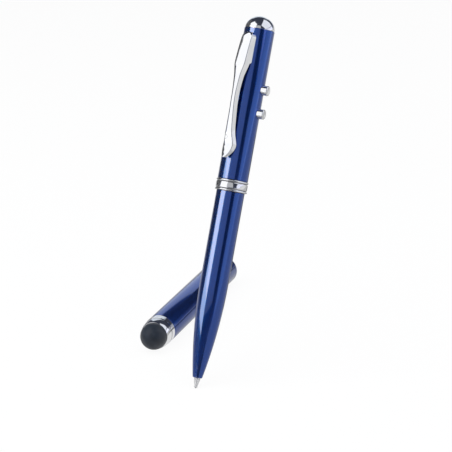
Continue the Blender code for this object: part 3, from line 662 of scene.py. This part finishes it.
# Clip: widths, lengths from its top, heights of its face above the barrel, and the pressed sheet
CLIP_ROOT_WIDTH = 4.6 * MM
CLIP_WAIST_WIDTH = 1.7 * MM
CLIP_FLARE_WIDTH = 4.25 * MM
CLIP_TOE_WIDTH = 0.6 * MM
CLIP_TOP_ROUND = 2.0 * MM
CLIP_ROOT_LENGTH = 11.3 * MM
CLIP_NOTCH = 0.6 * MM
CLIP_WAIST_AT = 24.7 * MM
CLIP_POINT_LENGTH = 5.0 * MM
CLIP_POINT_FULLNESS = 0.7
CLIP_ROOT_STAND = 2.9 * MM
CLIP_ARCH_STAND = 3.78 * MM
CLIP_FLARE_STAND = 1.65 * MM
CLIP_TOE_STAND = 3.4 * MM
CLIP_DEPTH = 1.7 * MM
CLIP_DRAFT = 0.27 * MM
CLIP_EDGE = 0.40 * MM
CLIP_EDGE_POINTS = 8
CLIP_EDGE_SPARE = 0.06 * MM
CLIP_CROWN_WIDE = math.radians(13)
CLIP_CROWN_SLIM = math.radians(17)
CLIP_CROWN_DROP = 0.03 * MM
CLIP_CROWN_SHARES = (0.75, 0.5, 0.25)
CLIP_SHEET = 0.45 * MM
CLIP_WALL_SHARE = 0.45
CLIP_BARREL_GAP = 0.12 * MM
CLIP_FIRST_SHARE = 0.01
CLIP_ROUND_SHARE = 1.06
CLIP_LAST_SHARE = 0.98
CLIP_END_ROWS = 14
CLIP_ROOT_ROWS = 16
CLIP_ARM_ROWS = 60
# Faces of the hollow back that take the painted shade
SHADED_BACK_FACES = 3


def flow_through(stations, at):
    """The value at one place of a smooth curve through (place, value) stations, level at its turns."""
    pairs = list(zip(stations, stations[1:]))
    steps = [(high - low) / (end - start) for (start, low), (end, high) in pairs]
    inner = [2 * a * b / (a + b) if a * b > 0.0 else 0.0 for a, b in zip(steps, steps[1:])]
    slopes = [steps[0]] + inner + [steps[-1]]
    for index, ((start, low), (end, high)) in enumerate(pairs):
        if at <= end:
            break
    span = end - start
    share = (at - start) / span
    ease = share * share * (3 - 2 * share)
    leave = slopes[index] * span * share * (1 - share) ** 2
    arrive = slopes[index + 1] * span * share**2 * (share - 1)
    return mix(low, high, ease) + leave + arrive


class ClipForm:
    """The clip's pressed channel as sections along its length, in the pen's own frame.

    Stations between the named ones lie at a share of the way from one to the next.
    """

    def __init__(self):
        reach = Reach("clip", PEN)
        self.top = reach.high
        self.length = reach.high - reach.low
        self.flare_at = self.length - CLIP_POINT_LENGTH
        self.barrel = Reach("upper_barrel", PEN).outer

    def arm(self, share):
        """A place between the root's end and the waist."""
        return mix(CLIP_ROOT_LENGTH, CLIP_WAIST_AT, share)

    def tail(self, share):
        """A place between the waist and the flare."""
        return mix(CLIP_WAIST_AT, self.flare_at, share)

    def half_width(self, below):
        root = CLIP_ROOT_WIDTH / 2
        waist = CLIP_WAIST_WIDTH / 2
        flare = CLIP_FLARE_WIDTH / 2
        if below < CLIP_TOP_ROUND:
            return root * math.sqrt(1 - (1 - below / CLIP_TOP_ROUND) ** 2)
        if below > self.flare_at:
            past = min(1.0, (below - self.flare_at) / CLIP_POINT_LENGTH)
            return mix(CLIP_TOE_WIDTH / 2, flare, (1 - past**2) ** CLIP_POINT_FULLNESS)
        stations = [
            (CLIP_TOP_ROUND, root),
            (CLIP_ROOT_LENGTH, root),
            (self.arm(0.43), mix(root, waist, 0.65)),
            (CLIP_WAIST_AT, waist),
            (self.tail(0.62), mix(waist, flare, 0.33)),
            (self.flare_at, flare),
        ]
        return flow_through(stations, below)

    def face(self, below):
        """Distance of the face's edges from the pen's axis."""
        stations = [
            (0.0, 0.36 * CLIP_ROOT_STAND),
            (0.12 * CLIP_ROOT_LENGTH, 0.53 * CLIP_ROOT_STAND),
            (0.33 * CLIP_ROOT_LENGTH, 0.75 * CLIP_ROOT_STAND),
            (0.70 * CLIP_ROOT_LENGTH, CLIP_ROOT_STAND),
            (self.arm(0.27), mix(CLIP_ROOT_STAND, CLIP_ARCH_STAND, 0.86)),
            (self.arm(0.90), CLIP_ARCH_STAND),
            (self.tail(0.40), mix(CLIP_ARCH_STAND, CLIP_FLARE_STAND, 0.25)),
            (self.tail(0.73), mix(CLIP_ARCH_STAND, CLIP_FLARE_STAND, 0.52)),
            (self.flare_at, CLIP_FLARE_STAND),
            (mix(self.flare_at, self.length, 0.50), mix(CLIP_FLARE_STAND, CLIP_TOE_STAND, 0.28)),
            (self.length, CLIP_TOE_STAND),
        ]
        return self.barrel + flow_through(stations, below)

    def foot(self, below, across):
        """Where a side wall ends: on the barrel at the root, at the wall's depth past it."""
        seat = math.sqrt((self.barrel + CLIP_BARREL_GAP) ** 2 - across**2)
        if below <= CLIP_ROOT_LENGTH:
            return seat
        stations = [
            (CLIP_ROOT_LENGTH + CLIP_NOTCH, 1.60 * CLIP_DEPTH),
            (self.arm(0.20), 1.50 * CLIP_DEPTH),
            (self.arm(0.50), 1.22 * CLIP_DEPTH),
            (CLIP_WAIST_AT, 1.15 * CLIP_DEPTH),
            (self.tail(0.80), 1.10 * CLIP_DEPTH),
            (self.flare_at, 1.18 * CLIP_DEPTH),
            (self.length, 0.50 * CLIP_DEPTH),
        ]
        return max(seat, self.face(below) - flow_through(stations, below))

    def section(self, below):
        """Corners as (across, out), going round: side walls, rounded edges, crowned face, hollow back."""
        half = self.half_width(below) + CLIP_EDGE_SPARE
        face = self.face(below) - CLIP_CROWN_DROP
        wall = min(CLIP_SHEET, CLIP_WALL_SHARE * half)
        edge = min(CLIP_EDGE, half / 2)
        outer = half + CLIP_DRAFT
        inner = outer - wall
        slim = (CLIP_ROOT_WIDTH / 2 - half) / (CLIP_ROOT_WIDTH / 2 - CLIP_WAIST_WIDTH / 2)
        lean = mix(CLIP_CROWN_WIDE, CLIP_CROWN_SLIM, max(0.0, min(1.0, slim)))
        right = [(inner, self.foot(below, inner)), (outer, self.foot(below, outer))]
        for angle in spread(math.pi / 2, lean, CLIP_EDGE_POINTS):
            sunk = edge * (math.cos(lean) - math.cos(angle))
            right.append((half - edge * (1 - math.sin(angle)), face - sunk))
        flat = half - edge * (1 - math.sin(lean))
        crown = flat * math.tan(lean) / 2
        for share in CLIP_CROWN_SHARES:
            right.append((flat * share, face + crown * (1 - share**2)))
        left = [(-across, out) for across, out in reversed(right)]
        roof = face - CLIP_SHEET
        return right + [(0.0, face + crown)] + left + [(wall - half, roof), (half - wall, roof)]

    def places(self):
        """Places of the sections, closest at the rounded ends and at the notch."""
        quarter = spread(0.0, math.pi / 2, CLIP_END_ROWS)
        point = CLIP_LAST_SHARE * CLIP_POINT_LENGTH
        made = [CLIP_TOP_ROUND * (1 + CLIP_FIRST_SHARE - math.cos(angle)) for angle in quarter]
        made += spread(CLIP_ROUND_SHARE * CLIP_TOP_ROUND, CLIP_ROOT_LENGTH, CLIP_ROOT_ROWS)
        made += spread(CLIP_ROOT_LENGTH + CLIP_NOTCH, self.flare_at, CLIP_ARM_ROWS)
        made += [self.flare_at + point * math.sin(angle) for angle in quarter[1:]]
        return made


def build_clip():
    """The pressed channel, polished outside, with a duller plate darkened as painted shade in its hollow back."""
    form = ClipForm()
    shape = bmesh.new()
    rings = []
    for below in form.places():
        section = form.section(below)
        rings.append([shape.verts.new((across, -out, form.top - below)) for across, out in section])
    sides = len(rings[0])
    # Painted shade: the last faces of each section, the hollow back, take the darker plate
    for number, face in enumerate(join_rings(shape, rings)):
        if number % sides >= sides - SHADED_BACK_FACES:
            face.material_index = 1
    shape.faces.new(rings[0])
    shape.faces.new(rings[-1])
    clip = add_piece("clip_pressed", shape, PEN, CHROME, "clip", ("clip",))
    clip.data.materials.append(DULL_AND_SHADED_PLATE)
    return clip


# Cap
END_BAND = 2.5 * MM
END_GROOVE = 0.4 * MM
END_GROOVE_DEPTH = 0.35 * MM
END_FRONT = 5.45 * MM
END_PLATE = 0.9 * MM
END_HOLE = 2.0 * MM
STYLUS_ROWS = 40


def build_cap_tube():
    shape = tube_shape(Reach("cap_tube", CAP))
    add_piece("tube_cap", shape, CAP, LACQUER, "cap", ("cap_tube",))


def build_cap_end():
    """The chromed end ring: a plain band, a groove painted black as shade and a collar that rounds to the rubber.
    """
    reach = Reach("cap_end_ring", CAP)
    tube = Reach("cap_tube", CAP)
    start = tube.high + SEAM
    band_end = start + END_BAND
    collar = band_end + END_GROOVE
    groove = reach.outer - END_GROOVE_DEPTH
    shoulder = reach.outer - END_GROOVE_DEPTH / 3
    skirt = tube.inner - SEAM
    bore = Reach("cap_cup", CAP).outer + SEAM
    plate = reach.high - END_PLATE
    outline = [
        (bore, reach.low),
        (skirt, reach.low),
        (skirt, start),
        (reach.outer - EDGE, start),
        (reach.outer, start + EDGE),
        (reach.outer, band_end - EDGE),
        (reach.outer - EDGE, band_end),
        (groove, band_end),
        (groove, collar),
    ]
    for angle in spread(0.0, math.pi / 2, 3 * ARC):
        out = END_FRONT + (shoulder - END_FRONT) * math.cos(angle)
        outline.append((out, collar + (reach.high - collar) * math.sin(angle)))
    outline += [(END_HOLE, reach.high), (END_HOLE, plate), (bore, plate)]
    ring = add_piece("ring_cap_end", turned_shape(outline), CAP, CHROME, "cap", ("cap_end_ring",))
    # Painted shade: the groove's faces take the black plastic
    ring.data.materials.append(BLACK)
    for face in ring.data.polygons:
        out = math.hypot(face.center.x, face.center.y)
        if band_end < face.center.z < collar and out > skirt:
            face.material_index = 1


def build_stylus():
    """The hollow rubber dome, with a rounded foot."""
    reach = Reach("stylus_dome", CAP)
    inner = Reach("stylus_core", CAP).outer + SEAM
    spring_line = reach.high - reach.outer

    def shell(radius):
        angles = spread(math.pi / 2, 0.0, STYLUS_ROWS)
        corners = [(radius * math.sin(angle), spring_line + radius * math.cos(angle)) for angle in angles]
        corners[-1] = (0.0, spring_line + radius)
        return corners

    foot = arc((reach.outer - EDGE, reach.low + EDGE), EDGE, -90, 0, SHORT_ARC)
    outline = shell(inner)[::-1] + [(inner, reach.low)] + foot + shell(reach.outer)
    add_piece("dome_stylus", turned_shape(outline), CAP, RUBBER, "cap", ("stylus_dome",))


def camera_axes():
    """The camera's right, up and back directions."""
    back = direction(0.0, math.degrees(CAMERA_ELEVATION))
    right = Vector((math.cos(CAMERA_AZIMUTH), math.sin(CAMERA_AZIMUTH), 0.0))
    return right, back.cross(right), back


def direction(bearing, elevation):
    """The way from the pen at this bearing from the camera, positive to the right, in degrees."""
    around = CAMERA_AZIMUTH + math.radians(bearing)
    rise = math.radians(elevation)
    return Vector((math.sin(around) * math.cos(rise), -math.cos(around) * math.cos(rise), math.sin(rise)))


def build_camera():
    right, up, back = camera_axes()
    data = bpy.data.cameras.new("photo_camera")
    data.sensor_width = SENSOR
    data.lens = FOCAL_PIXELS * SENSOR / PHOTO_SIDE
    camera = bpy.data.objects.new("photo_camera", data)
    bpy.context.scene.collection.objects.link(camera)
    target = PEN.translation + CAMERA_TARGET
    turn = Matrix((right, up, back)).transposed()
    camera.matrix_world = Matrix.Translation(target + back * CAMERA_DISTANCE) @ turn.to_4x4()
    bpy.context.scene.camera = camera


# Floor: how much of its own white a kind of ray sees, and how bright that white is
FLOOR_SIDE = 8.0
FLOOR_GAP = 0.02 * MM
FLOOR_SEEN = 0.94
FLOOR_MIRRORED = 0.48
FLOOR_GLOWS = (
    ("Is Camera Ray", FLOOR_SEEN, 1.0),
    ("Is Transmission Ray", FLOOR_SEEN, 1.0),
    ("Is Glossy Ray", 1.0, FLOOR_MIRRORED),
)


def light_path(tree, shares):
    """How much of a ray takes the second of two shaders, by the kind of ray."""
    rays = tree.nodes.new("ShaderNodeLightPath")
    total = None
    for kind, share in shares.items():
        part = tree.nodes.new("ShaderNodeMath")
        part.operation = "MULTIPLY"
        part.inputs[1].default_value = share
        tree.links.new(rays.outputs[kind], part.inputs[0])
        if total is None:
            total = part.outputs["Value"]
            continue
        both = tree.nodes.new("ShaderNodeMath")
        both.operation = "MAXIMUM"
        tree.links.new(total, both.inputs[0])
        tree.links.new(part.outputs["Value"], both.inputs[1])
        total = both.outputs["Value"]
    return total


def matte_look(name, scale, dark, light):
    """A matte surface of the studio, with a faint unevenness."""
    made = Nodes(name)
    made.put(roughness=0.9, specular_ior_level=0.0)
    made.colour(made.ramp(made.noise(scale=scale), dark, light))
    return made


def build_floor():
    """A pale floor, white to the camera, that keeps the object's soft shadow."""
    shape = bmesh.new()
    bmesh.ops.create_grid(shape, x_segments=1, y_segments=1, size=FLOOR_SIDE / 2)
    made = matte_look("pale_floor", 3.0, (0.93, 0.93, 0.93), (0.95, 0.95, 0.95))
    tree = made.tree
    last = made.shader.outputs["BSDF"]
    for kind, share, strength in FLOOR_GLOWS:
        glow = tree.nodes.new("ShaderNodeEmission")
        glow.inputs["Strength"].default_value = strength
        mixed = tree.nodes.new("ShaderNodeMixShader")
        made.link(light_path(tree, {kind: share}), mixed.inputs["Fac"])
        made.link(last, mixed.inputs[1])
        made.link(glow.outputs["Emission"], mixed.inputs[2])
        last = mixed.outputs["Shader"]
    made.link(last, tree.nodes["Material Output"].inputs["Surface"])
    place = Matrix.Translation((0.0, 0.0, CAD_BOX[0].z - FLOOR_GAP))
    floor = add_piece("floor", shape, place, made.look, None)


# Cards, by their distances from the pen's point; wedges also by their bearings from the camera
CARD_GAP = 0.01 * MM
CARD_NEAR = 45.0 * MM
CARD_FAR = 450.0 * MM
CARD_FRONT = 150.0 * MM
CARD_STEP = 250.0 * MM
CARD_LOW = 60.0 * MM
CARD_LOW_LENGTH = 1.4 * CARD_LOW
CARD_ASIDE = (0.77, 0.64)
CARD_TONES = {"black": 0.12, "grey": 0.42, "white": 0.92}
WEDGES = (
    ("card_before", (-27.0, 22.0), 8.0 * MM, 2000.0 * MM),
    ("card_behind", (142.5, 158.0), 70.0 * MM, 290.0 * MM),
)


def card_look(shade):
    tone = CARD_TONES[shade]
    return matte_look(shade + "_card", 20.0, (0.95 * tone,) * 3, (1.05 * tone,) * 3).look


def build_cards():
    """Cards that only polished surfaces show: grey, black and white ones to the left, and black wedges."""
    right, _, back = camera_axes()
    away = Vector((-back.x, -back.y, 0.0)).normalized()
    rise = Vector((0.0, 0.0, 1.0))
    black, grey, white = (card_look(shade) for shade in CARD_TONES)
    corner = Vector((PEN.translation.x, PEN.translation.y, CAD_BOX[0].z + CARD_GAP))
    left = -right
    aside = (left * CARD_ASIDE[0] + away * CARD_ASIDE[1]).normalized()
    level = rise.cross(aside)
    near = corner + left * CARD_NEAR - away * CARD_FRONT
    step = corner + left * CARD_STEP
    upright = corner + aside * CARD_FAR - level * CARD_FAR / 2
    low = corner + left * CARD_LOW - away * CARD_LOW
    cards = []
    for name, look, start, across, along in (
        ("card_near", grey, near, left * (CARD_STEP - CARD_NEAR), away * (CARD_FRONT + CARD_FAR)),
        ("card_far", black, step, left * (CARD_FAR - CARD_STEP), away * CARD_FAR),
        ("card_upright", black, upright, level * CARD_FAR, rise * CARD_FAR),
        ("card_low", grey, low, away * CARD_LOW_LENGTH, rise * CARD_LOW / 2),
        ("card_white", white, step, left * CARD_FAR, away * -CARD_FAR),
    ):
        cards.append((name, look, (start, start + across, start + across + along, start + along)))
    for name, bearings, start, end in WEDGES:
        one, other = (direction(bearing, 0.0) for bearing in bearings)
        ends = (corner + one * start, corner + one * end, corner + other * end, corner + other * start)
        cards.append((name, black, ends))
    for name, look, ends in cards:
        shape = bmesh.new()
        shape.faces.new([shape.verts.new(place) for place in ends])
        card = add_piece(name, shape, Matrix.Identity(4), look, None)
        card.visible_camera = False
        card.visible_diffuse = False
        card.visible_shadow = False
        card.visible_transmission = False


# Lamps. A wall has a name, bearings and elevations in degrees from the camera, radiance, colour, distance.
# Lacquer walls light the lacquer alone, plate walls all else, trim walls all but the lacquer and the clip,
# and clip walls the clip alone. Walls show in gloss alone, apart from those for all rays
WALL_FAR = 0.9
WALL_NEAR = 0.25
AIM_HEIGHT = 80.0 * MM
PLAIN = (1.0, 1.0, 1.0)
LACQUER_WALLS = (
    ("left_strip", (-86.0, -45.5), (13.0, 62.0), 7.2, (1.0, 0.67, 0.32), WALL_FAR),
    ("left_strip_low", (-86.0, -45.5), (-4.0, 13.0), 4.0, (1.0, 0.76, 0.39), WALL_FAR),
    ("right_wall", (37.0, 122.0), (-4.0, 18.0), 0.50, (0.82, 1.0, 1.0), WALL_FAR),
    ("front_wall", (-45.5, 10.0), (10.0, 52.0), 0.42, PLAIN, WALL_FAR),
    ("back_wall", (156.0, 196.0), (-1.5, 30.0), 0.68, (0.82, 0.90, 1.0), WALL_FAR),
)
PLATE_WALLS = (
    ("left_mild", (-92.0, -36.5), (-4.0, 66.0), 1.02, PLAIN, WALL_FAR),
    ("left_mild_high", (-112.0, -92.0), (22.0, 66.0), 1.02, PLAIN, WALL_FAR),
    ("right_low", (37.0, 140.0), (-16.0, 0.0), 0.22, PLAIN, WALL_NEAR),
    ("front_bright", (-36.5, 10.0), (10.0, 52.0), 0.42, PLAIN, WALL_FAR),
    ("back_bright", (156.0, 196.0), (-1.5, 30.0), 0.70, (0.86, 0.93, 1.0), WALL_FAR),
)
TRIM_WALLS = (("right_bright", (37.0, 122.0), (0.0, 18.0), 0.87, (0.85, 0.865, 1.0), WALL_FAR),)
CLIP_WALLS = (
    ("clip_fill", (37.0, 140.0), (0.0, 14.0), 0.22, PLAIN, WALL_NEAR),
    ("clip_wall", (37.0, 122.0), (0.0, 18.0), FLOOR_MIRRORED, PLAIN, WALL_FAR),
    ("clip_left", (-98.0, -60.0), (-8.0, -2.3), 0.55, PLAIN, WALL_NEAR),
)
WALLS_FOR_ALL_RAYS = ("right_wall", "front_wall", "back_wall")

# Soft boxes: name, bearing and elevation, distance, size, radiance, colour, and whether they show in gloss
SOFT_BOXES = (
    ("right_high", (84.5, 45.0), 0.9, (1.38, 0.85), 0.84, (0.90, 0.93, 1.0), True),
    ("left_soft", (-66.0, 40.0), 0.9, (0.80, 1.20), 2.6, PLAIN, False),
    ("top_soft", (10.0, 78.0), 1.2, (1.2, 1.2), 2.0, PLAIN, False),
)

# Panel on the floor beside the cap
PANEL_START = 3.0 * MM
PANEL_SIZE = (24.0 * MM, 60.0 * MM)
PANEL_RADIANCE = 0.28

# Room around the studio: its tint, and its strength below and above the sines of two elevations
ROOM_TINT = (0.80, 0.90, 1.30, 1.0)
ROOM_LOW = (math.sin(math.radians(4.0)), 0.15)
ROOM_HIGH = (math.sin(math.radians(14.0)), 0.05)


def add_lamp(name, place, towards, size, radiance):
    """A soft box of this radiance."""
    data = bpy.data.lights.new(name, "AREA")
    data.shape = "RECTANGLE"
    data.size, data.size_y = size
    data.energy = radiance * math.pi * size[0] * size[1]
    lamp = bpy.data.objects.new(name, data)
    bpy.context.scene.collection.objects.link(lamp)
    lamp.location = place
    lamp.rotation_mode = "QUATERNION"
    lamp.rotation_quaternion = towards.to_track_quat("-Z", "Y")
    return lamp


def limit_lamp(lamp, pieces, state):
    """Let a lamp light these pieces only, or all but these."""
    group = bpy.data.collections.new(lamp.name + "_pieces")
    for piece in pieces:
        group.objects.link(piece)
    for member in group.collection_objects:
        member.light_linking.link_state = state
    lamp.light_linking.receiver_collection = group


def add_walls(walls, aim, pieces, state):
    """Upright soft boxes that the pen sees between their bearings and elevations."""
    for name, bearings, elevations, radiance, colour, distance in walls:
        low, high = (distance * math.tan(math.radians(angle)) for angle in elevations)
        width = 2 * distance * math.tan(math.radians(bearings[1] - bearings[0]) / 2)
        out = direction(sum(bearings) / 2, 0.0)
        place = aim + out * distance + Vector((0.0, 0.0, (low + high) / 2))
        wall = add_lamp(name, place, -out, (width, high - low), radiance)
        wall.data.color = colour
        wall.visible_diffuse = name in WALLS_FOR_ALL_RAYS
        limit_lamp(wall, pieces, state)


def add_soft_boxes(aim):
    """Soft boxes that lean over the pen and face it."""
    for name, way, distance, size, radiance, colour, in_gloss in SOFT_BOXES:
        out = direction(*way)
        soft = add_lamp(name, aim + out * distance, -out, size, radiance)
        soft.data.color = colour
        soft.visible_glossy = in_gloss


def build_lamps(clip):
    """A strong strip to the left for the lacquer, milder walls for the rest, soft boxes and a panel."""
    aim = PEN @ Vector((0.0, 0.0, AIM_HEIGHT))
    meshes = [piece for piece in bpy.context.scene.objects if piece.type == "MESH"]
    lacquered = [piece for piece in meshes if piece.active_material is LACQUER]
    add_walls(LACQUER_WALLS, aim, lacquered, "INCLUDE")
    add_walls(PLATE_WALLS, aim, lacquered, "EXCLUDE")
    add_walls(TRIM_WALLS, aim, lacquered + [clip], "EXCLUDE")
    add_walls(CLIP_WALLS, aim, [clip], "INCLUDE")
    add_soft_boxes(aim)
    low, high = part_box("cap_tube")
    beside = (low.x + high.x + PANEL_SIZE[0]) / 2 + PANEL_START
    place = Vector((beside, low.y + PANEL_SIZE[1] / 4, low.z + EDGE))
    panel = add_lamp("floor_panel", place, Vector((0.0, 0.0, 1.0)), PANEL_SIZE, PANEL_RADIANCE)
    panel.visible_camera = False
    panel.visible_diffuse = False
    limit_lamp(panel, lacquered, "EXCLUDE")


def build_world():
    """A room that is dark above, and plain white to the camera and through clear pieces."""
    world = bpy.data.worlds.new("studio")
    bpy.context.scene.world = world
    world.use_nodes = True
    tree = world.node_tree
    room = tree.nodes["Background"]
    where = tree.nodes.new("ShaderNodeTexCoord")
    split = tree.nodes.new("ShaderNodeSeparateXYZ")
    rise = tree.nodes.new("ShaderNodeMapRange")
    rise.inputs["From Min"].default_value, rise.inputs["To Min"].default_value = ROOM_LOW
    rise.inputs["From Max"].default_value, rise.inputs["To Max"].default_value = ROOM_HIGH
    tree.links.new(where.outputs["Generated"], split.inputs["Vector"])
    tree.links.new(split.outputs["Z"], rise.inputs["Value"])
    tree.links.new(rise.outputs["Result"], room.inputs["Strength"])
    room.inputs["Color"].default_value = ROOM_TINT
    plain = tree.nodes.new("ShaderNodeBackground")
    plain.inputs["Strength"].default_value = 1.0
    plain.inputs["Color"].default_value = (*PLAIN, 1.0)
    mixed = tree.nodes.new("ShaderNodeMixShader")
    tree.links.new(light_path(tree, {"Is Camera Ray": 1.0, "Is Transmission Ray": 1.0}), mixed.inputs["Fac"])
    tree.links.new(room.outputs["Background"], mixed.inputs[1])
    tree.links.new(plain.outputs["Background"], mixed.inputs[2])
    tree.links.new(mixed.outputs["Shader"], tree.nodes["World Output"].inputs["Surface"])


dress_inner_nodes()
build_lower_barrel()
build_centre_ring()
build_coupler()
build_refill_tip()
build_upper_barrel()
build_buttons()
build_dome()
clip_piece = build_clip()
build_cap_tube()
build_cap_end()
build_stylus()
build_camera()
build_floor()
build_cards()
build_lamps(clip_piece)
build_world()
bpy.context.scene.view_settings.view_transform = "Standard"
